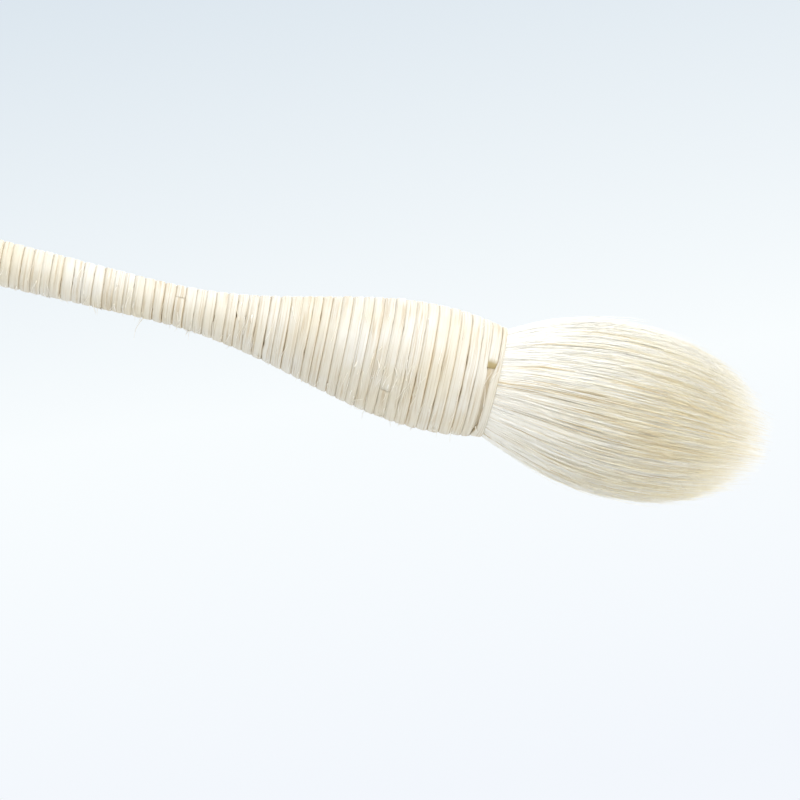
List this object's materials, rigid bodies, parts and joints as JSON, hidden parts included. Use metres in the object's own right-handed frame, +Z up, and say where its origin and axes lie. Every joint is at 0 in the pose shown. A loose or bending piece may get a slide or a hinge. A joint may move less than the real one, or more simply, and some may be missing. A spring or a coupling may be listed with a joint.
{
  "type": "reed-wound hair brush",
  "caption": "Round soft hair brush for washes or powder: an egg-shaped goat-hair tuft set in a gourd-shaped handle wound end to end with bleached reed.",
  "frame": {"origin": "centre of the flat butt face of the handle, on the brush's own axis", "axes": "+X runs along the brush from the butt to the tip of the tuft; +Z is up when the brush is held level; the cut end of the winding faces -Y"},
  "size_m": [0.195, 0.0358, 0.0359],
  "materials": {
    "bare_wood": "turned, unvarnished",
    "reed": "bleached, split, matte",
    "goat_hair": "fine hair, soft sheen",
    "binding_thread": "twisted cotton",
    "resin": "hard resin"
  },
  "bodies": {
    "root": {"shaft": "bare_wood", "cup": "bare_wood", "root_resin": "resin", "hair_core": "goat_hair", "core_tie": "binding_thread", "hair_mantle": "goat_hair", "mantle_tie": "binding_thread", "winding_lower": "reed", "winding_middle": "reed", "winding_upper": "reed", "mouth_turn": "reed"}
  },
  "joints": []
}
